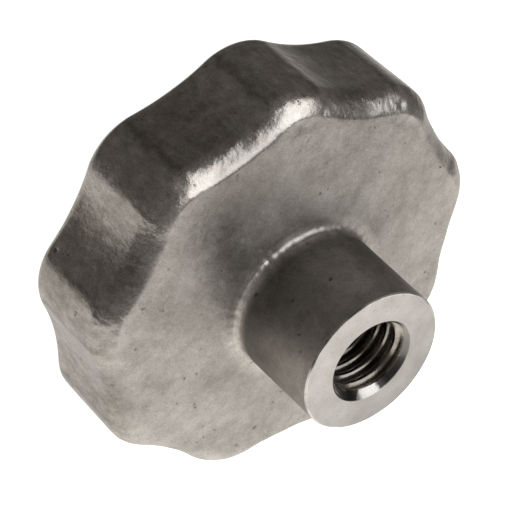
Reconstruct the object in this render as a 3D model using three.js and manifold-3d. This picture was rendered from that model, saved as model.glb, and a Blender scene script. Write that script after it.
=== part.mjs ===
// Star knob: a nine-lobed hand nut, cast in stainless steel in one piece, with a boss on
// the middle of one side and a tapped blind hole in the end of the boss.
// Millimetres, +Z up. The origin is the centre of the flat back of the head. The thread
// axis is the Z axis, and the tapped mouth faces +Z.
import * as THREE from "three";
import { mergeVertices } from "three/addons/utils/BufferGeometryUtils.js";
import Module from "manifold-3d";

// Head: a thick disc with shallow lobes round its rim.
const LOBES = 9;
const HEAD_RADIUS = 30; // over the crests of the lobes
const VALLEY_RADIUS = 28.1; // at the bottom of the scallops
const CREST_RADIUS = 9.1; // of the outline's convex arcs
const HEAD_THICKNESS = 16.1; // at the rim
const BACK_ROUNDING = 1.8; // convex edge between the wall and the back
const FRONT_ROUNDING_INWARDS = 2.8; // the softer convex edge between the wall and the front
const FRONT_ROUNDING_DOWN = 3.1;
const FRONT_ROUNDING_POWER = 1.65; // of its superellipse: 2 is an ellipse, 1 a chamfer
const FACE_RISE = 1.9; // the front face climbs this much from the rim to the boss
const FACE_CURVE = 1.15; // power of that climb: 1 is a cone, more is flatter at the rim

// Boss: a slightly tapered cylinder, its end turned flat.
const BOSS_BASE_RADIUS = 10.5;
const BOSS_END_RADIUS = 10.35;
const BOSS_HEIGHT = 16.3; // from the rim of the front face to the turned end
const BOSS_FILLET = 0.7; // concave, where the boss meets the head
const BOSS_CHAMFER = 0.2; // at the turned end

// Tapped hole: M12 coarse, blind, with a drill-point bottom.
const THREAD_MAJOR_RADIUS = 6;
const THREAD_PITCH = 1.75;
const THREAD_DEPTH = 21;
const DRILL_DEPTH = 25; // full-diameter depth below the turned end
const DRILL_POINT_ANGLE = THREE.MathUtils.degToRad(118);
const MOUTH_RADIUS = 6.1; // of the countersink at the turned end
const MOUTH_ANGLE = THREE.MathUtils.degToRad(90);

// Facets.
const CREST_STEPS = 6; // even, so that one point lies on the crest middle
const SCALLOP_STEPS = 4;
const ROUNDING_STEPS = 4;
const FACE_STEPS = 4;
const THREAD_STEPS_PER_TURN = 24;

const TOTAL_HEIGHT = HEAD_THICKNESS + BOSS_HEIGHT;
const THREAD_DEPTH_OF_CUT = (5 / 8) * (Math.sqrt(3) / 2) * THREAD_PITCH;
const THREAD_MINOR_RADIUS = THREAD_MAJOR_RADIUS - THREAD_DEPTH_OF_CUT;

function polar(radius, angle) {
  return new THREE.Vector2(radius * Math.cos(angle), radius * Math.sin(angle));
}

// The lobed outline: convex crest arcs and concave scallop arcs that touch each other.
// Both arcs of a lobe have fixed centres, so moving the outline inwards by an inset only
// changes their radii.
function lobedOutline(inset) {
  const half = Math.PI / LOBES;
  const crestCentre = HEAD_RADIUS - CREST_RADIUS;
  const across = crestCentre * Math.cos(half);
  const scallopRadius =
    (CREST_RADIUS ** 2 - VALLEY_RADIUS ** 2 - crestCentre ** 2 + 2 * VALLEY_RADIUS * across) /
    (2 * (VALLEY_RADIUS - across - CREST_RADIUS));
  const scallopCentre = polar(VALLEY_RADIUS + scallopRadius, half);
  const turn = scallopCentre.clone().sub(polar(crestCentre, 0)).angle();
  const points = [];
  for (let lobe = 0; lobe < LOBES; lobe += 1) {
    const middle = 2 * half * lobe;
    for (let i = 0; i < CREST_STEPS; i += 1) {
      const angle = THREE.MathUtils.lerp(-turn, turn, i / CREST_STEPS);
      const point = polar(CREST_RADIUS - inset, angle).add(polar(crestCentre, 0));
      points.push(point.rotateAround(new THREE.Vector2(), middle));
    }
    for (let i = 0; i < SCALLOP_STEPS; i += 1) {
      const angle = THREE.MathUtils.lerp(turn, 2 * half - turn, i / SCALLOP_STEPS);
      const point = scallopCentre.clone().sub(polar(scallopRadius + inset, angle));
      points.push(point.rotateAround(new THREE.Vector2(), middle));
    }
  }
  return points;
}

const atHeight = (outline, z) => outline.map((p) => new THREE.Vector3(p.x, p.y, z));

// A circle with one point beside each point of the outline, so that rings of both kinds
// can be joined.
function circleBeside(outline, radius) {
  return outline.map((p) => p.clone().setLength(radius));
}

// Closes a row of rings, each with the same number of points, into one body. The end
// rings are filled from their middles.
function skin(rings) {
  const count = rings[0].length;
  const points = rings.flat();
  const index = [];
  for (let ring = 0; ring + 1 < rings.length; ring += 1) {
    for (let i = 0; i < count; i += 1) {
      const a = ring * count + i;
      const b = ring * count + ((i + 1) % count);
      index.push(a, b, b + count, a, b + count, a + count);
    }
  }
  const middle = (ring) =>
    ring.reduce((sum, p) => sum.add(p), new THREE.Vector3()).divideScalar(count);
  const first = points.push(middle(rings[0])) - 1;
  const last = points.push(middle(rings[rings.length - 1])) - 1;
  const lastRing = (rings.length - 1) * count;
  for (let i = 0; i < count; i += 1) {
    const next = (i + 1) % count;
    index.push(first, next, i);
    index.push(last, lastRing + i, lastRing + next);
  }
  const geometry = new THREE.BufferGeometry().setFromPoints(points);
  geometry.setIndex(index);
  return geometry;
}

// Steps of a quarter-round edge, as [share of its size sideways, share up]. It is a
// quarter of a circle at a power of 2, and closer to a chamfer below that.
function quarter(steps, power = 2) {
  const shares = [];
  for (let i = 0; i <= steps; i += 1) {
    const angle = (Math.PI / 2) * (i / steps);
    const sideways = 1 - Math.sin(angle) ** (2 / power);
    const up = i === steps ? 1 : 1 - Math.cos(angle) ** (2 / power);
    shares.push([sideways, up]);
  }
  return shares;
}

// The solid knob before it is drilled, as rings from the back of the head to the turned
// end of the boss.
function knobBlank() {
  const rings = [];
  for (const [inwards, up] of quarter(ROUNDING_STEPS)) {
    rings.push(atHeight(lobedOutline(inwards * BACK_ROUNDING), up * BACK_ROUNDING));
  }
  const softer = quarter(ROUNDING_STEPS, FRONT_ROUNDING_POWER).reverse();
  for (const [inwards, up] of softer) {
    const outline = lobedOutline(inwards * FRONT_ROUNDING_INWARDS);
    rings.push(atHeight(outline, HEAD_THICKNESS - up * FRONT_ROUNDING_DOWN));
  }
  const faceRim = lobedOutline(FRONT_ROUNDING_INWARDS);
  const bossFoot = circleBeside(faceRim, BOSS_BASE_RADIUS + BOSS_FILLET);
  for (let i = 1; i <= FACE_STEPS; i += 1) {
    const share = i / FACE_STEPS;
    const ring = faceRim.map((p, k) => p.clone().lerp(bossFoot[k], share));
    rings.push(atHeight(ring, HEAD_THICKNESS + FACE_RISE * share ** FACE_CURVE));
  }
  for (const [outwards, up] of quarter(ROUNDING_STEPS).slice(1)) {
    const ring = circleBeside(faceRim, BOSS_BASE_RADIUS + outwards * BOSS_FILLET);
    rings.push(atHeight(ring, HEAD_THICKNESS + FACE_RISE + up * BOSS_FILLET));
  }
  rings.push(atHeight(circleBeside(faceRim, BOSS_END_RADIUS), TOTAL_HEIGHT - BOSS_CHAMFER));
  rings.push(atHeight(circleBeside(faceRim, BOSS_END_RADIUS - BOSS_CHAMFER), TOTAL_HEIGHT));
  return skin(rings);
}

// A solid of revolution about Z from a profile of [radius, height] points, bottom first.
function turned(profile, segments) {
  const points = profile.map(([radius, height]) => new THREE.Vector2(radius, height));
  return new THREE.LatheGeometry(points, segments).rotateX(Math.PI / 2);
}

// The drilled hole and its countersink, run out past the turned end.
function drilledHole() {
  const point = THREAD_MINOR_RADIUS / Math.tan(DRILL_POINT_ANGLE / 2);
  const bottom = TOTAL_HEIGHT - DRILL_DEPTH;
  const past = THREAD_PITCH;
  const slope = Math.tan(MOUTH_ANGLE / 2);
  const sinkDepth = (MOUTH_RADIUS - THREAD_MINOR_RADIUS) / slope;
  return turned(
    [
      [0, bottom - point],
      [THREAD_MINOR_RADIUS, bottom],
      [THREAD_MINOR_RADIUS, TOTAL_HEIGHT - sinkDepth],
      [MOUTH_RADIUS + past * slope, TOTAL_HEIGHT + past],
      [0, TOTAL_HEIGHT + past],
    ],
    THREAD_STEPS_PER_TURN,
  );
}

// The right-hand helical groove between the thread's crests, as one ridge to cut away.
// It starts inside the drilled hole, so the two overlap.
function threadGroove() {
  const overlap = 0.3;
  const tip = THREAD_PITCH / 16;
  const foot = tip + (THREAD_DEPTH_OF_CUT + overlap) * Math.tan(Math.PI / 6);
  const section = [
    [THREAD_MINOR_RADIUS - overlap, -foot],
    [THREAD_MINOR_RADIUS - overlap, foot],
    [THREAD_MAJOR_RADIUS, tip],
    [THREAD_MAJOR_RADIUS, -tip],
  ];
  const start = TOTAL_HEIGHT - THREAD_DEPTH;
  const steps = Math.ceil((THREAD_DEPTH / THREAD_PITCH + 1) * THREAD_STEPS_PER_TURN);
  const rings = [];
  for (let i = 0; i <= steps; i += 1) {
    const turns = i / THREAD_STEPS_PER_TURN;
    const direction = polar(1, 2 * Math.PI * turns);
    const climb = start + THREAD_PITCH * turns;
    const place = ([r, z]) => new THREE.Vector3(r * direction.x, r * direction.y, climb + z);
    rings.push(section.map(place));
  }
  return skin(rings);
}

const wasm = await Module();
wasm.setup();

// A closed three.js geometry as a solid that can be joined and cut.
function toSolid(geometry) {
  const bare = geometry.clone();
  bare.deleteAttribute("normal");
  bare.deleteAttribute("uv");
  const merged = mergeVertices(bare);
  const corners = Array.from(merged.index.array);
  const triangles = [];
  for (let i = 0; i < corners.length; i += 3) {
    const triangle = corners.slice(i, i + 3);
    if (new Set(triangle).size === 3) {
      triangles.push(...triangle);
    }
  }
  return new wasm.Manifold(
    new wasm.Mesh({
      numProp: 3,
      vertProperties: new Float32Array(merged.attributes.position.array),
      triVerts: new Uint32Array(triangles),
    }),
  );
}

function toGeometry(solid) {
  const mesh = solid.getMesh();
  const geometry = new THREE.BufferGeometry();
  geometry.setAttribute("position", new THREE.BufferAttribute(mesh.vertProperties, 3));
  geometry.setIndex(new THREE.BufferAttribute(mesh.triVerts, 1));
  geometry.computeVertexNormals();
  return geometry;
}

function knobCasting() {
  const hole = toSolid(drilledHole()).add(toSolid(threadGroove()));
  const solid = toSolid(knobBlank()).subtract(hole);
  const castStainless = new THREE.MeshStandardMaterial({
    color: 0xa59e96,
    roughness: 0.45,
    metalness: 1,
  });
  const mesh = new THREE.Mesh(toGeometry(solid), castStainless);
  mesh.name = "knob_casting";
  return mesh;
}

const starKnob = new THREE.Group();
starKnob.add(knobCasting());
export default starKnob;
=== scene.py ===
"""Star knob: one stainless casting with nine shallow lobes, a boss and a tapped hole.

The visible skin is one closed mesh built ring by ring from the middle of the back, over
the rim, up the boss and down the thread, with the cast surface worked into the mesh.
Lengths in the tables of dimensions are millimetres; Blender objects are in metres.
"""
import math

import bpy
import numpy as np
from mathutils import Matrix, Vector, noise


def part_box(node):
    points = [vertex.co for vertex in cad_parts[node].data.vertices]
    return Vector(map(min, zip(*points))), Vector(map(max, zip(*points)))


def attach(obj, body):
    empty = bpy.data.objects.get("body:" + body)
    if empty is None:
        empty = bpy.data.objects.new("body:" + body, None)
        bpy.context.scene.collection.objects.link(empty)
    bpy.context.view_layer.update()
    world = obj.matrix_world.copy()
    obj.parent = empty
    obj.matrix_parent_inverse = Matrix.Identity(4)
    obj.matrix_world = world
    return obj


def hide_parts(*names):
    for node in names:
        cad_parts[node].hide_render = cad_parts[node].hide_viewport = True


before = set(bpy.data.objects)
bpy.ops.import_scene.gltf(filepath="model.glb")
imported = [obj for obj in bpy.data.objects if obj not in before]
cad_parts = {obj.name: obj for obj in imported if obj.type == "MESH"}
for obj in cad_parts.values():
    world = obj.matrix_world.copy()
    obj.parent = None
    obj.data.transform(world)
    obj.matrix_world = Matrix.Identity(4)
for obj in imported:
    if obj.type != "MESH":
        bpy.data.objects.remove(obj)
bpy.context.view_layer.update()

MM = 0.001
CAD_NODE = "knob_casting"

# ------------------------------------------------------------------ dimensions, mm
LOW, HIGH = (np.array(corner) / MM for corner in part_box(CAD_NODE))
TOTAL_HEIGHT = HIGH[2]
SKIN_INSET = 0.06            # the cast skin lies this far inside the CAD envelope
HEAD_RADIUS = HIGH[0] - SKIN_INSET
VALLEY_RADIUS = 28.1 - SKIN_INSET
CREST_RADIUS = 9.1
LOBES = 9
HEAD_THICKNESS = 16.1
BACK_ROUNDING = 1.8
FRONT_ROUNDING_INWARDS = 2.8
FRONT_ROUNDING_DOWN = 3.1
FRONT_ROUNDING_POWER = 1.65  # of its superellipse; 2 is an ellipse
FACE_RISE = 1.9
FACE_CURVE = 1.15

BOSS_BASE_RADIUS = 10.5
BOSS_END_RADIUS = 10.35
BOSS_FILLET = 0.7
BOSS_CHAMFER = 0.2
BOSS_FOOT = HEAD_THICKNESS + FACE_RISE

THREAD_MAJOR_RADIUS = 6.0
THREAD_PITCH = 1.75
THREAD_MINOR_RADIUS = THREAD_MAJOR_RADIUS - 5 / 8 * math.sqrt(3) / 2 * THREAD_PITCH
THREAD_DEPTH = 21.0
DRILL_DEPTH = 25.0
DRILL_POINT_ANGLE = math.radians(118)
MOUTH_RADIUS = 6.1

# ------------------------------------------------------------------ mesh fineness
STEPS_PER_ARC = 24           # of each crest arc and of each scallop arc
OUTLINE_STEPS = 2 * LOBES * STEPS_PER_ARC
SKIN_STEP = 0.35             # between rings on the cast surfaces, mm
BORE_STEPS = OUTLINE_STEPS // 4
BACK_RINGS = 12
BACK_ROUNDING_STEPS = 10
FRONT_ROUNDING_STEPS = 14
FILLET_STEPS = 7
END_RINGS = 8                # on the turned end of the boss

SHARP_ANGLE = math.radians(38)            # edges turned further than this aren't smoothed

CAST, TURNED, THREAD = 0, 1, 2            # material indices


# ------------------------------------------------------------------ outlines
def polar(radius, angle):
    """Points at distances and angles from the axis, one row for each."""
    return np.array([np.cos(angle), np.sin(angle)]).T * np.reshape(radius, (-1, 1))


def turn_by(points, angle):
    c, s = math.cos(angle), math.sin(angle)
    return points @ np.array([[c, s], [-s, c]])


def lobed_outline(inset):
    """The rim's outline: convex crest arcs and concave scallop arcs that touch."""
    half = math.pi / LOBES
    crest_centre = HEAD_RADIUS - CREST_RADIUS
    across = crest_centre * math.cos(half)
    scallop_radius = (
        CREST_RADIUS**2 - VALLEY_RADIUS**2 - crest_centre**2 + 2 * VALLEY_RADIUS * across
    ) / (2 * (VALLEY_RADIUS - across - CREST_RADIUS))
    scallop_centre = polar(VALLEY_RADIUS + scallop_radius, half)[0]
    to_scallop = scallop_centre - [crest_centre, 0]
    turn = math.atan2(to_scallop[1], to_scallop[0])
    share = np.arange(STEPS_PER_ARC) / STEPS_PER_ARC
    crest = polar(CREST_RADIUS - inset, -turn + 2 * turn * share) + [crest_centre, 0]
    angles = turn + (2 * half - 2 * turn) * share
    scallop = scallop_centre - polar(scallop_radius + inset, angles)
    lobe = np.vstack([crest, scallop])
    return np.vstack([turn_by(lobe, 2 * half * k) for k in range(LOBES)])


def at_height(outline, z):
    return np.column_stack([outline, np.full(len(outline), z)])


def circle_beside(outline, radius):
    return outline * (radius / np.linalg.norm(outline, axis=1))[:, None]


def quarter(steps, power=2.0):
    """Shares (sideways, up) along a quarter of a circle or of a superellipse."""
    angle = np.linspace(0, math.pi / 2, steps + 1)
    sideways = 1 - np.sin(angle) ** (2 / power)
    up = 1 - np.cos(angle).clip(0) ** (2 / power)
    return list(zip(sideways, up))


def direction(azimuth, elevation):
    """A unit vector from angles in radians; azimuth runs from +X towards +Y."""
    level = math.cos(elevation)
    return Vector((level * math.cos(azimuth), level * math.sin(azimuth), math.sin(elevation)))


def towards(azimuth, elevation):
    """The same from angles in degrees."""
    return direction(math.radians(azimuth), math.radians(elevation))


# ------------------------------------------------------------------ mesh building
class Skin:
    """Vertices in mm, faces and each face's material, joined ring by ring."""

    def __init__(self):
        self.points, self.faces, self.materials = [], [], []

    def ring(self, points):
        first = len(self.points)
        self.points.extend(map(tuple, points))
        return np.arange(first, first + len(points))

    def face(self, corners, material):
        kept = [c for i, c in enumerate(corners) if c != corners[i - 1]]
        if len(kept) > 2:
            self.faces.append(kept)
            self.materials.append(material)

    def bridge(self, lower, upper, material):
        for i in range(len(lower)):
            j = (i + 1) % len(lower)
            self.face([lower[i], lower[j], upper[j], upper[i]], material)

    def bridge_coarser(self, fine, coarse, material):
        """Joins a ring to one with a whole number of times fewer points."""
        ratio = len(fine) // len(coarse)
        for i in range(len(coarse)):
            for k in range(ratio):
                a, b = i * ratio + k, (i * ratio + k + 1) % len(fine)
                self.face([fine[a], fine[b], coarse[i]], material)
            end = (i + 1) * ratio % len(fine)
            self.face([fine[end], coarse[(i + 1) % len(coarse)], coarse[i]], material)

    def close(self, ring, centre, material, facing_up):
        middle = self.ring([centre])[0]
        for i in range(len(ring)):
            j = (i + 1) % len(ring)
            a, b = (ring[i], ring[j]) if facing_up else (ring[j], ring[i])
            self.face([middle, a, b], material)


def steps_for(length):
    return max(2, round(length / SKIN_STEP))


def cast_rings():
    """Every ring of the cast surface, from the rim of the back to the end of the boss."""
    rings = []
    for inwards, up in quarter(BACK_ROUNDING_STEPS):
        rings.append(at_height(lobed_outline(inwards * BACK_ROUNDING), up * BACK_ROUNDING))
    wall_top = HEAD_THICKNESS - FRONT_ROUNDING_DOWN
    rows = steps_for(wall_top - BACK_ROUNDING)
    for z in np.linspace(BACK_ROUNDING, wall_top, rows + 1)[1:]:
        rings.append(at_height(lobed_outline(0), z))
    for inwards, up in quarter(FRONT_ROUNDING_STEPS, FRONT_ROUNDING_POWER)[-2::-1]:
        outline = lobed_outline(inwards * FRONT_ROUNDING_INWARDS)
        rings.append(at_height(outline, HEAD_THICKNESS - up * FRONT_ROUNDING_DOWN))
    rim = lobed_outline(FRONT_ROUNDING_INWARDS)
    foot = circle_beside(rim, BOSS_BASE_RADIUS + BOSS_FILLET)
    rows = steps_for(VALLEY_RADIUS - FRONT_ROUNDING_INWARDS - BOSS_BASE_RADIUS - BOSS_FILLET)
    for share in np.linspace(0, 1, rows + 1)[1:]:
        rise = FACE_RISE * share**FACE_CURVE
        rings.append(at_height(rim + (foot - rim) * share, HEAD_THICKNESS + rise))
    for outwards, up in quarter(FILLET_STEPS)[1:]:
        ring = circle_beside(rim, BOSS_BASE_RADIUS + outwards * BOSS_FILLET)
        rings.append(at_height(ring, BOSS_FOOT + up * BOSS_FILLET))
    wall_foot = BOSS_FOOT + BOSS_FILLET
    wall_end = TOTAL_HEIGHT - BOSS_CHAMFER
    rows = steps_for(wall_end - wall_foot)
    for share in np.linspace(0, 1, rows + 1)[1:]:
        radius = BOSS_BASE_RADIUS + (BOSS_END_RADIUS - BOSS_BASE_RADIUS) * share
        z = wall_foot + (wall_end - wall_foot) * share
        rings.append(at_height(circle_beside(rim, radius), z))
    return rings, rim


def thread_profile():
    """One pitch of the thread as (share of the pitch, share of the depth of cut).

    The edges between crest, flank and root are slightly softened."""
    crest, root, soft, near_root = 1 / 8, 7 / 16, 0.014, 0.985
    half = [(0.0, 0.0), (crest - soft, 0.0), (crest, soft)]
    for share in (1 / 3, 2 / 3):
        half.append((crest + (root - crest) * share, share))
    half += [(root, near_root), (root + soft, 1.0)]
    return half + [(0.5, 1.0)] + [(1 - s, d) for s, d in half[:0:-1]]


def bore_points():
    """The countersink, thread and plain end of the hole on a grid that follows the helix.

    Rows are indexed first. A row sinks by one pitch less than it winds, so its last column
    meets the first column of the row a whole pitch above it."""
    profile = np.array(thread_profile())
    per_pitch = len(profile)
    column = np.arange(BORE_STEPS)
    start = TOTAL_HEIGHT + THREAD_PITCH / BORE_STEPS
    bottom = TOTAL_HEIGHT - DRILL_DEPTH
    pitches = math.ceil((start - bottom) / THREAD_PITCH) + 1
    row = np.arange(pitches * per_pitch + 1)
    sunk = (row // per_pitch + profile[row % per_pitch, 0]) * THREAD_PITCH
    z = start - sunk[:, None] + THREAD_PITCH * column / BORE_STEPS
    cut = profile[row % per_pitch, 1][:, None]
    run_out = np.clip((z - (TOTAL_HEIGHT - THREAD_DEPTH)) / THREAD_PITCH, 0, 1)
    threaded = THREAD_MINOR_RADIUS + (THREAD_MAJOR_RADIUS - THREAD_MINOR_RADIUS) * cut * run_out
    sunk_cone = MOUTH_RADIUS - (TOTAL_HEIGHT - z)
    radius = np.maximum(threaded, sunk_cone)
    radius = np.where(z >= TOTAL_HEIGHT, MOUTH_RADIUS, radius)
    radius = np.where(z <= bottom, THREAD_MINOR_RADIUS, radius)
    z = np.clip(z, bottom, TOTAL_HEIGHT)
    angle = 2 * math.pi * column / BORE_STEPS
    points = np.stack([radius * np.cos(angle), radius * np.sin(angle), z], axis=2)
    return points, per_pitch, sunk_cone > threaded


def add_bore(skin, end_ring):
    points, per_pitch, in_cone = bore_points()
    rows, columns = points.shape[:2]
    flat = points.reshape(-1, 3)
    _, first, same = np.unique(flat.round(6), axis=0, return_index=True, return_inverse=True)
    index = skin.ring(flat[first])[same.ravel()].reshape(rows, columns)
    skin.bridge_coarser(end_ring, index[0], TURNED)
    for r in range(rows - 1):
        for c in range(columns):
            wraps = c == columns - 1
            if wraps and r < per_pitch:
                continue
            back = per_pitch if wraps else 0
            d = 0 if wraps else c + 1
            corners = [index[r, c], index[r - back, d], index[r + 1 - back, d], index[r + 1, c]]
            skin.face(corners, TURNED if in_cone[r, c] and in_cone[r + 1, c] else THREAD)
    point = THREAD_MINOR_RADIUS / math.tan(DRILL_POINT_ANGLE / 2)
    tip = TOTAL_HEIGHT - DRILL_DEPTH - point
    skin.close(index[-1], (0, 0, tip), THREAD, facing_up=True)


def knob_skin():
    """The whole closed surface, and which vertices carry the cast skin."""
    skin = Skin()
    rings, rim = cast_rings()
    back_rim = rings[0]
    shares = np.linspace(0, 1, BACK_RINGS)[1:-1]
    inner = [skin.ring(back_rim * [s, s, 1]) for s in shares]
    skin.close(inner[0], (0, 0, 0), CAST, facing_up=False)
    indices = inner + [skin.ring(r) for r in rings]
    for lower, upper in zip(indices, indices[1:]):
        skin.bridge(lower, upper, CAST)
    cast_count = len(skin.points)
    last = indices[-1]
    edge = BOSS_END_RADIUS - BOSS_CHAMFER
    for radius in np.linspace(edge, MOUTH_RADIUS + 0.3, END_RINGS):
        ring = skin.ring(at_height(circle_beside(rim, radius), TOTAL_HEIGHT))
        skin.bridge(last, ring, TURNED)
        last = ring
    add_bore(skin, last)
    return skin, cast_count


# ------------------------------------------------------------------ cast surface
def uneven(points, scale, seed):
    """Smooth noise from 0 to 1 with features of about scale mm."""
    shift = Vector((seed * 17.3, seed * 5.1, seed * 9.7))
    return np.array([0.5 + 0.5 * noise.noise(Vector(p) / scale + shift) for p in points])


def waves(points, rows):
    """The sum of several kinds of unevenness, each (depth in mm, scale in mm, seed)."""
    return sum(depth * uneven(points, scale, seed) for depth, scale, seed in rows)


def fade(values, zero_at, one_at):
    """0 at one value, 1 at another, straight between them and level beyond them."""
    return np.clip((values - zero_at) / (one_at - zero_at), 0, 1)


def around(radius, azimuth, z):
    """A point at a distance and a direction from the axis, at a height."""
    x, y = polar(radius, math.radians(azimuth))[0]
    return (x, y, z)


def on_face(radius, azimuth):
    """A point on the front face at a distance and a direction from the axis."""
    return around(radius, azimuth, HEAD_THICKNESS + 0.3)


SKIN_WAVES = [(0.10, 11.0, 1), (0.05, 4.0, 2), (0.012, 1.3, 3)]
RIM_WAVES = [(0.16, 2.6, 4), (0.07, 1.1, 5)]
RIM_SLOPE_WAVES = [(0.10, 5.0, 8)]
RIM_CREST_DEPTH = 0.10       # the rim is worn this much more on the crests
FOOT_WAVES = [(0.12, 1.6, 6), (0.13, 0.8, 7)]
FOOT_MIDDLE = (10.9, BOSS_FOOT + 0.3)     # of the fillet: radius and height
FOOT_REACH = (1.44, 0.54)    # from there its unevenness starts, and is in full

# Pits and nicks of the casting: where, width and depth in mm.
DENTS = [
    (on_face(25.0, 150), 1.1, 0.10),
    (on_face(22.5, 205), 0.9, 0.08),
    (on_face(16.0, 120), 1.0, 0.07),
    (on_face(24.0, 300), 0.8, 0.07),
    (on_face(15.4, 83), 0.9, 0.10),
    (on_face(13.4, 51), 1.3, 0.12),
    (around(28.1, 5, 15.8), 1.1, 0.22),
    (around(27.2, 33, 16.0), 0.7, 0.12),
    (around(27.7, 159, 16.0), 1.0, 0.15),
    (around(29.0, 111, 2.2), 1.1, 0.15),
    (around(29.9, 119, 10.0), 0.8, 0.12),
    (around(28.9, 228, 6.5), 1.0, 0.14),
    (around(28.4, 301, 9.5), 0.8, 0.12),
    (around(10.9, 74, 18.2), 0.8, 0.16),
    (around(10.4, 45, 19.2), 0.7, 0.06),
    (around(10.4, 53, 26.0), 0.7, 0.06),
    (around(10.4, 215, 24.0), 0.8, 0.07),
]


def sink_cast_skin(mesh, count):
    """Moves the cast vertices inwards by the unevenness of a blasted casting."""
    points = np.array([v.co for v in mesh.vertices[:count]]) / MM
    normals = np.array([v.normal for v in mesh.vertices[:count]])
    x, y, z = points.T
    radius = np.hypot(x, y)
    depth = waves(points, SKIN_WAVES)
    rim = fade(radius, 25.2, 26.8) * fade(z, 12.0, 13.6)
    crest = 0.5 + 0.5 * np.cos(LOBES * np.arctan2(y, x))
    upright = normals[:, 2] ** 2
    slanting = 4 * upright * (1 - upright)
    depth += rim * waves(points, RIM_WAVES)
    depth += rim * slanting * (RIM_CREST_DEPTH * crest + waves(points, RIM_SLOPE_WAVES))
    off_foot = np.hypot(radius - FOOT_MIDDLE[0], z - FOOT_MIDDLE[1])
    depth += fade(off_foot, *FOOT_REACH) * waves(points, FOOT_WAVES)
    for centre, width, deep in DENTS:
        distance = np.linalg.norm(points - centre, axis=1)
        depth += deep * np.exp(-((distance / (0.5 * width)) ** 2))
    moved = points - normals * depth[:, None]
    for vertex, place in zip(mesh.vertices[:count], moved):
        vertex.co = Vector(place) * MM


def build_knob():
    skin, cast_count = knob_skin()
    mesh = bpy.data.meshes.new("star_knob")
    mesh.from_pydata([tuple(c * MM for c in p) for p in skin.points], [], skin.faces)
    mesh.polygons.foreach_set("material_index", skin.materials)
    mesh.polygons.foreach_set("use_smooth", [True] * len(mesh.polygons))
    mesh.update()
    sink_cast_skin(mesh, cast_count)
    mesh.update()
    mesh.set_sharp_from_angle(angle=SHARP_ANGLE)
    knob = bpy.data.objects.new("star_knob", mesh)
    bpy.context.scene.collection.objects.link(knob)
    return knob


# ------------------------------------------------------------------ materials
# Pairs of colours are the dark and the pale end of a finish.
SKIN_TONES = (0.36, 0.335, 0.31, 1), (0.57, 0.55, 0.525, 1)
BOSS_TONES = (0.20, 0.187, 0.174, 1), (0.25, 0.232, 0.214, 1)
TURNED_TONES = (0.57, 0.55, 0.525, 1), (0.68, 0.665, 0.645, 1)
THREAD_TONES = (0.46, 0.41, 0.355, 1), (0.68, 0.64, 0.585, 1)
STAIN = (0.47, 0.41, 0.36, 1)
UNCHANGED = (1, 1, 1, 1)
WALL_BLOTCHES = (0.84, 0.83, 0.82, 1), (1.16, 1.15, 1.14, 1)

# the boss is painted paler towards this azimuth: painted light
BOSS_LIT_SIDE = -170        # azimuth, degrees
# the face gets painted shade beside the boss foot on this side
FOOT_SHADE_SIDE = 20
# the turned end gets painted shade away from this azimuth
END_LIT_SIDE = 70
PAINTED_LIGHT_SIDE = 222             # azimuth of the painted highlight on the countersink, between two patches of painted shade
CREASE_PLACE = 0.52          # cosine of the lobe angle where a crest turns into a scallop


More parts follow.
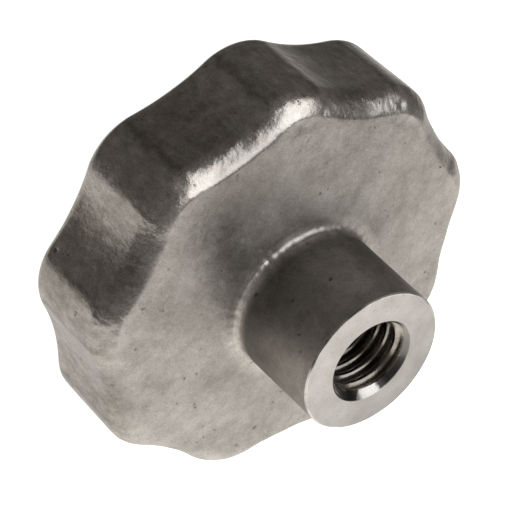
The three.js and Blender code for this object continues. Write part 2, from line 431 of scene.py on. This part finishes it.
class Nodes:
    """Short calls for building a node tree; positions are object coordinates in mm."""

    def __init__(self, name):
        self.material = bpy.data.materials.new(name)
        self.material.use_nodes = True
        self.tree = self.material.node_tree
        self.shader = self.tree.nodes["Principled BSDF"]
        place = self.add("ShaderNodeTexCoord").outputs["Object"]
        self.mm = self.scaled(place, 1 / MM)
        axes = self.add("ShaderNodeSeparateXYZ")
        self.put(axes.inputs[0], self.mm)
        self.x, self.y, self.z = axes.outputs
        squares = [self.math("POWER", side, 2.0) for side in (self.x, self.y)]
        self.radius = self.math("SQRT", self.total(*squares))

    def add(self, kind, **settings):
        node = self.tree.nodes.new(kind)
        for key, value in settings.items():
            setattr(node, key, value)
        return node

    def put(self, socket, value):
        if isinstance(value, bpy.types.NodeSocket):
            self.tree.links.new(value, socket)
        else:
            socket.default_value = value

    def math(self, operation, a, b=0.0):
        node = self.add("ShaderNodeMath", operation=operation)
        self.put(node.inputs[0], a)
        self.put(node.inputs[1], b)
        return node.outputs[0]

    def total(self, value, *others):
        for other in others:
            value = self.math("ADD", value, other)
        return value

    def product(self, value, *others):
        for other in others:
            value = self.math("MULTIPLY", value, other)
        return value

    def vector_math(self, operation, a, b):
        node = self.add("ShaderNodeVectorMath", operation=operation)
        self.put(node.inputs[0], a)
        self.put(node.inputs[1], b)
        return node.outputs["Value" if operation == "DISTANCE" else "Vector"]

    def scaled(self, vector, factor):
        node = self.add("ShaderNodeVectorMath", operation="SCALE")
        self.put(node.inputs[0], vector)
        self.put(node.inputs["Scale"], factor)
        return node.outputs[0]

    def drawn_out(self, x, y, z):
        """The position with each axis scaled, which stretches a pattern along small ones."""
        return self.vector_math("MULTIPLY", self.mm, (x, y, z))

    def noise(self, size, detail=2.0, rough=0.5, vector=None):
        node = self.add("ShaderNodeTexNoise")
        self.put(node.inputs["Vector"], vector or self.mm)
        node.inputs["Scale"].default_value = 1 / size
        node.inputs["Detail"].default_value = detail
        node.inputs["Roughness"].default_value = rough
        return node.outputs["Fac"]

    def wandering(self, size, reach):
        """The position, moved by up to about reach mm either way."""
        node = self.add("ShaderNodeTexNoise")
        self.put(node.inputs["Vector"], self.mm)
        node.inputs["Scale"].default_value = 1 / size
        level = self.vector_math("SUBTRACT", node.outputs["Color"], (0.5, 0.5, 0.5))
        return self.vector_math("ADD", self.mm, self.scaled(level, 2.0 * reach))

    def cells(self, size, vector):
        node = self.add("ShaderNodeTexVoronoi")
        self.put(node.inputs["Vector"], vector)
        node.inputs["Scale"].default_value = 1 / size
        return node.outputs["Distance"]

    def span(self, value, from_low, from_high, to_low=0.0, to_high=1.0):
        node = self.add("ShaderNodeMapRange")
        limits = {"From Min": from_low, "From Max": from_high, "To Min": to_low, "To Max": to_high}
        self.put(node.inputs["Value"], value)
        for name, number in limits.items():
            self.put(node.inputs[name], number)
        return node.outputs["Result"]

    def blend(self, factor, a, b):
        node = self.add("ShaderNodeMix", data_type="RGBA")
        self.put(node.inputs[0], factor)
        self.put(node.inputs[6], a)
        self.put(node.inputs[7], b)
        return node.outputs[2]

    def inside(self, zone, factor):
        """A factor in a zone, 1 outside it."""
        return self.total(1.0, self.product(zone, self.total(factor, -1.0)))

    def towards_side(self, azimuth):
        """How far a point lies towards an azimuth in degrees, in mm."""
        side = towards(azimuth, 0)
        return self.total(self.product(self.x, side.x), self.product(self.y, side.y))

    def spot(self, vector, centre, width):
        """0.6 in the middle of a spot, 0 outside it."""
        distance = self.vector_math("DISTANCE", vector, centre)
        return self.span(distance, 0.2 * width, 0.5 * width, 0.6, 0.0)

    def bump(self, height, depth, below=None):
        """Height from 0 to 1 over a depth in mm."""
        node = self.add("ShaderNodeBump")
        self.put(node.inputs["Height"], height)
        node.inputs["Distance"].default_value = depth * MM
        if below is not None:
            self.put(node.inputs["Normal"], below)
        return node.outputs["Normal"]

    def finish(self, colour, roughness, normal):
        self.shader.inputs["Metallic"].default_value = 1.0
        self.put(self.shader.inputs["Base Color"], colour)
        self.put(self.shader.inputs["Roughness"], roughness)
        self.put(self.shader.inputs["Normal"], normal)
        return self.material


def round_the_lobes(n):
    """1 along the crest of every lobe, and -1 along the bottom of every scallop."""
    return n.math("COSINE", n.product(n.math("ARCTAN2", n.y, n.x), float(LOBES)))


def wall_crease_painted_shade(n, lobes):
    """Painted shade in lines along the wall, where each crest turns into its scallop."""
    wobble = n.span(n.noise(2.2, detail=3.0), 0.3, 0.7, -CREASE_PLACE - 0.14, -CREASE_PLACE + 0.14)
    off_crease = n.math("ABSOLUTE", n.total(wobble, lobes))
    on_wall = n.product(n.span(n.radius, 26.8, 27.6), n.span(n.z, 15.4, 13.0))
    return n.product(n.span(off_crease, 0.0, 0.22, 0.36, 0.0), on_wall)


def boss_foot_painted_shade(n, in_front):
    """Painted shade on the face, along one side of the foot of the boss."""
    near_foot = n.span(n.radius, 16.0, 11.2, 0.0, 0.34)
    on_side = n.span(n.towards_side(FOOT_SHADE_SIDE), 4.0, 11.0)
    off_boss = n.span(n.z, BOSS_FOOT + 2, BOSS_FOOT + 1)
    return n.product(near_foot, on_side, in_front, off_boss)


def open_pits(n):
    """Small sparse pits, and the dark bottoms of the dents in the mesh."""
    ragged = n.wandering(0.5, 0.5)
    sparse = n.span(n.noise(3.4, detail=0.0), 0.62, 0.68)
    pits = n.product(n.span(n.cells(1.5, ragged), 0.08, 0.22, 0.55, 0.0), sparse)
    for centre, width, _ in DENTS:
        pits = n.math("MAXIMUM", pits, n.spot(ragged, centre, width))
    return pits


def cast_skin():
    """Blasted and tumbled casting skin: satin, mottled, with soft peel and small pits."""
    n = Nodes("cast_skin")
    mottle = n.noise(1.6, detail=5.0, rough=0.7)
    grain = n.noise(0.24, detail=2.0)
    along_wall = n.noise(1.0, detail=4.0, rough=0.65, vector=n.drawn_out(1, 1, 0.5))

    # Zones: each is 1 inside and fades to 0, the wall only to 0.4 by the back of the head.
    in_front = n.span(n.z, HEAD_THICKNESS - 2, HEAD_THICKNESS - 1)
    on_boss = n.span(n.z, BOSS_FOOT, BOSS_FOOT + 2)
    lobes = round_the_lobes(n)
    rim = n.product(n.span(n.radius, 25.4, 27.0), n.span(n.z, 12.2, 13.6))
    wall = n.product(n.span(n.z, 15.6, 14.2), n.span(n.z, 0.4, 2.0, 0.4, 1.0))
    fillet = n.product(n.span(n.radius, 12.8, 11.5), n.span(n.z, BOSS_FOOT + 1.3, BOSS_FOOT + 0.7), in_front)

    # Colour: clouds and mottling, brownish stains on the wall, and a darker boss with painted light, paler
    # towards one side and towards its end.
    tone = n.total(n.product(n.noise(6.0, detail=3.0), 0.45), n.product(mottle, 0.55))
    colour = n.blend(n.span(tone, 0.36, 0.64), *SKIN_TONES)
    stains = n.span(n.noise(7.0, detail=4.0, rough=0.65), 0.5, 0.6, 0.0, 0.42)
    colour = n.blend(n.product(stains, n.span(n.z, 16.4, 14.4)), colour, STAIN)
    boss = n.blend(n.span(n.towards_side(BOSS_LIT_SIDE), -9.0, 7.5), *BOSS_TONES)
    # painted light: the boss gets paler towards its end
    painted_light_up_the_boss = n.span(n.z, BOSS_FOOT + 1, TOTAL_HEIGHT - 3, 0.88, 1.75)
    boss = n.scaled(boss, n.product(painted_light_up_the_boss, n.span(tone, 0.36, 0.64, 0.76, 1.24)))
    colour = n.blend(on_boss, colour, boss)
    blotches = n.blend(n.span(along_wall, 0.36, 0.64), *WALL_BLOTCHES)
    colour = n.vector_math("MULTIPLY", colour, n.blend(wall, UNCHANGED, blotches))

    # Shade: fine speckle, pits, painted shade along the wall creases and beside the foot of the boss, and
    # painted highlights on the rim and on the fillet at the foot of the boss.
    pits = open_pits(n)
    painted_shade = n.math("MAXIMUM", wall_crease_painted_shade(n, lobes), boss_foot_painted_shade(n, in_front))
    after_shade_and_pits = n.math("SUBTRACT", 1.0, n.math("MAXIMUM", painted_shade, pits))
    # painted highlight on the rim: brighter over the crests, dimmer over the scallops
    rim_painted_highlight = n.total(1.0, n.product(rim, n.span(lobes, -1.0, 0.2, -0.12, 0.18)))
    # painted highlights: along the fillet at the foot of the boss, and on the rim
    painted_highlights = n.product(rim_painted_highlight, n.inside(fillet, 1.45))
    shade = n.product(n.span(grain, 0.35, 0.65, 0.88, 1.12), after_shade_and_pits, painted_highlights)

    rough = n.total(
        n.span(mottle, 0.3, 0.7, 0.25, 0.31),
        n.span(grain, 0.3, 0.7, -0.02, 0.02),
        n.product(rim, 0.03),
        n.product(on_boss, 0.10),
        n.product(wall, -0.04),
        n.product(in_front, n.span(n.radius, 24.0, 13.0, 0.0, 0.13)),
    )
    hammering = n.product(rim, n.noise(0.75, detail=2.0, vector=n.drawn_out(1, 1, 0.6)))
    normal = n.bump(n.noise(1.1, detail=2.0, rough=0.55), 0.035)
    normal = n.bump(hammering, 0.055, below=normal)
    normal = n.bump(n.product(wall, along_wall), 0.028, below=normal)
    normal = n.bump(n.math("SUBTRACT", 1.0, pits), 0.05, below=normal)
    normal = n.bump(grain, 0.005, below=normal)
    return n.finish(n.scaled(colour, shade), rough, normal)


def countersink_painted_light(n):
    """Painted highlight and painted shade on the countersink: a factor that is high at one azimuth and low
    on either side of it.
    """
    along = n.math("DIVIDE", n.towards_side(PAINTED_LIGHT_SIDE), n.radius)
    along = n.total(along, n.span(n.noise(0.9, detail=3.0), 0.3, 0.7, -0.02, 0.02))
    painted_glint = n.span(along, 0.945, 0.985, 0.0, 0.95)
    painted_light_factor = n.math("MAXIMUM", painted_glint, n.span(along, 0.35, 0.85, 0.62, 0.09))
    return n.inside(n.span(n.radius, 6.15, 6.0), painted_light_factor)


def turned_steel():
    """The faced end of the boss: bright, with faint rings of the lathe tool and painted shade across it away
    from one side; on the countersink a painted highlight and painted shade.
    """
    n = Nodes("turned_steel")
    outwards = n.add("ShaderNodeCombineXYZ")
    n.put(outwards.inputs[0], n.radius)
    feed = n.noise(0.12, detail=2.0, vector=outwards.outputs[0])
    clouds = n.noise(3.0, detail=3.0)
    colour = n.blend(n.span(clouds, 0.3, 0.7), *TURNED_TONES)
    specks = n.span(n.noise(0.35, detail=2.0), 0.62, 0.72, 1.0, 0.8)
    # painted shade across the turned end, away from one side
    across = n.span(n.towards_side(END_LIT_SIDE), -9.0, 5.0, 0.80, 1.04)
    edge = n.inside(n.span(n.radius, 9.95, 10.15), n.span(n.noise(4.0, detail=3.0), 0.4, 0.6, 0.5, 1.45))
    shade = n.product(specks, across, edge, countersink_painted_light(n))
    rough = n.total(n.span(feed, 0.3, 0.7, 0.24, 0.32), n.span(clouds, 0.3, 0.7, 0.04, -0.04))
    return n.finish(n.scaled(colour, shade), rough, n.bump(feed, 0.004))


def thread_steel():
    """Cut thread: glossy, darker deeper in the hole, with painted shade towards one side."""
    n = Nodes("thread_steel")
    colour = n.blend(n.span(n.noise(1.5, detail=3.0), 0.3, 0.7), *THREAD_TONES)
    depth = n.total(n.z, n.span(n.noise(2.0, detail=2.0), 0.3, 0.7, -1.0, 1.0))
    deeper = n.span(depth, TOTAL_HEIGHT - 9.0, TOTAL_HEIGHT - 1.5, 0.55, 1.0)
    # painted shade on the thread towards one side
    along = n.towards_side(PAINTED_LIGHT_SIDE)
    painted_light_factor = n.math("MAXIMUM", n.span(along, 5.2, 5.6, 0.0, 0.8), n.span(along, 2.0, 4.6, 1.0, 0.5))
    streaks = n.noise(0.3, detail=2.0, vector=n.drawn_out(1, 1, 6))
    rough = n.span(streaks, 0.3, 0.7, 0.14, 0.26)
    return n.finish(n.scaled(colour, n.product(deeper, painted_light_factor)), rough, n.bump(streaks, 0.006))


knob = build_knob()
for material in (cast_skin(), turned_steel(), thread_steel()):
    knob.data.materials.append(material)
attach(knob, "root")
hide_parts(CAD_NODE)

# ------------------------------------------------------------------ camera
AIM = Vector((0.8, 4.1, 10.7)) * MM
CAMERA_AZIMUTH = math.radians(75.43)      # from +X towards +Y
CAMERA_ELEVATION = math.radians(37.70)
CAMERA_ROLL = math.radians(-133.11)
CAMERA_DISTANCE = 266.15 * MM
LENS = 145.0
SENSOR = 36
CLIP = (0.01, 20)


def facing(place, back, roll=0.0):
    """Stands an object at a place with its local +Z along back, rolled about it."""
    level_right = Vector((0, 0, 1)).cross(back).normalized()
    level_up = back.cross(level_right)
    up = level_up * math.cos(roll) + level_right * math.sin(roll)
    turned = Matrix((up.cross(back), up, back)).transposed().to_4x4()
    return Matrix.Translation(place) @ turned


def place_camera():
    data = bpy.data.cameras.new("camera")
    data.lens, data.sensor_width = LENS, SENSOR
    data.clip_start, data.clip_end = CLIP
    camera = bpy.data.objects.new("camera", data)
    bpy.context.scene.collection.objects.link(camera)
    back = direction(CAMERA_AZIMUTH, CAMERA_ELEVATION)
    camera.matrix_world = facing(AIM + back * CAMERA_DISTANCE, back, CAMERA_ROLL)
    bpy.context.scene.camera = camera


# ------------------------------------------------------------------ floor and light
# Patches of light in the surroundings, later ones over earlier ones: azimuth and
# elevation of the middle, the angles from it that are full and that are empty, colour.
ROOM = (0.130, 0.122, 0.113, 1)
DARK_CORNER = (36, -33, 4, 20, (0.085, 0.079, 0.072, 1))
LOW_GLOW = (262, -33, 0, 44, (0.50, 0.49, 0.475, 1))
HIGH_GLOW = (247, 46, 8, 26, (0.54, 0.52, 0.50, 1))
PALE_SWEEP = (213, -8, 73, 81, (0.71, 0.685, 0.65, 1))
BRIGHT_MIDDLE = (235, 12, 0, 56, (0.98, 0.945, 0.90, 1))
PATCHES = [DARK_CORNER, LOW_GLOW, HIGH_GLOW, PALE_SWEEP, BRIGHT_MIDDLE]
BACKDROP = (0.9, 0.9, 0.9, 1)

KEY_PLACE = (5, 54, 1.2)     # azimuth, elevation, distance in metres
KEY_SIZE = (1.15, 1.3)
KEY_POWER = 7.8
KEY_ROLL = math.radians(-10)

FLOOR_REACH = 3.0            # metres from the middle to each side
FLOOR_GLOW = 0.95


def softbox():
    data = bpy.data.lights.new("key_light", "AREA")
    data.shape = "RECTANGLE"
    data.size, data.size_y = KEY_SIZE
    data.energy = KEY_POWER
    light = bpy.data.objects.new("key_light", data)
    bpy.context.scene.collection.objects.link(light)
    azimuth, elevation, distance = KEY_PLACE
    back = towards(azimuth, elevation)
    light.matrix_world = facing(back * distance, back, KEY_ROLL)


def studio_world():
    """A dim room with a pale sweep on one side; the camera sees a plain backdrop."""
    world = bpy.data.worlds.new("studio")
    bpy.context.scene.world = world
    world.use_nodes = True
    tree = world.node_tree
    background = tree.nodes["Background"]
    ray = tree.nodes.new("ShaderNodeTexCoord").outputs["Generated"]

    def patch(azimuth, elevation, inner, outer):
        """1 within inner degrees of a direction, 0 beyond outer degrees."""
        dot = tree.nodes.new("ShaderNodeVectorMath")
        dot.operation = "DOT_PRODUCT"
        tree.links.new(ray, dot.inputs[0])
        dot.inputs[1].default_value = towards(azimuth, elevation)
        span = tree.nodes.new("ShaderNodeMapRange")
        span.interpolation_type = "SMOOTHSTEP"
        tree.links.new(dot.outputs["Value"], span.inputs["Value"])
        span.inputs["From Min"].default_value = math.cos(math.radians(outer))
        span.inputs["From Max"].default_value = math.cos(math.radians(inner))
        return span.outputs["Result"]

    def over(factor, below, colour):
        mix = tree.nodes.new("ShaderNodeMix")
        mix.data_type = "RGBA"
        tree.links.new(factor, mix.inputs[0])
        for socket, value in ((mix.inputs[6], below), (mix.inputs[7], colour)):
            if isinstance(value, tuple):
                socket.default_value = value
            else:
                tree.links.new(value, socket)
        return mix.outputs[2]

    light = ROOM
    for azimuth, elevation, inner, outer, colour in PATCHES:
        light = over(patch(azimuth, elevation, inner, outer), light, colour)
    seen = tree.nodes.new("ShaderNodeLightPath").outputs["Is Camera Ray"]
    tree.links.new(over(seen, light, BACKDROP), background.inputs["Color"])


def lay_floor():
    """A pale floor that takes no part in reflections or bounced light."""
    r = FLOOR_REACH
    mesh = bpy.data.meshes.new("floor")
    mesh.from_pydata([(-r, -r, 0), (r, -r, 0), (r, r, 0), (-r, r, 0)], [], [(0, 1, 2, 3)])
    floor = bpy.data.objects.new("floor", mesh)
    bpy.context.scene.collection.objects.link(floor)
    material = bpy.data.materials.new("floor_white")
    material.use_nodes = True
    shader = material.node_tree.nodes["Principled BSDF"]
    shader.inputs["Base Color"].default_value = BACKDROP
    shader.inputs["Roughness"].default_value = 0.9
    shader.inputs["Emission Color"].default_value = (1, 1, 1, 1)
    shader.inputs["Emission Strength"].default_value = FLOOR_GLOW
    mesh.materials.append(material)
    floor.visible_glossy = False
    floor.visible_diffuse = False


place_camera()
studio_world()
lay_floor()
softbox()
bpy.context.scene.view_settings.view_transform = "Standard"
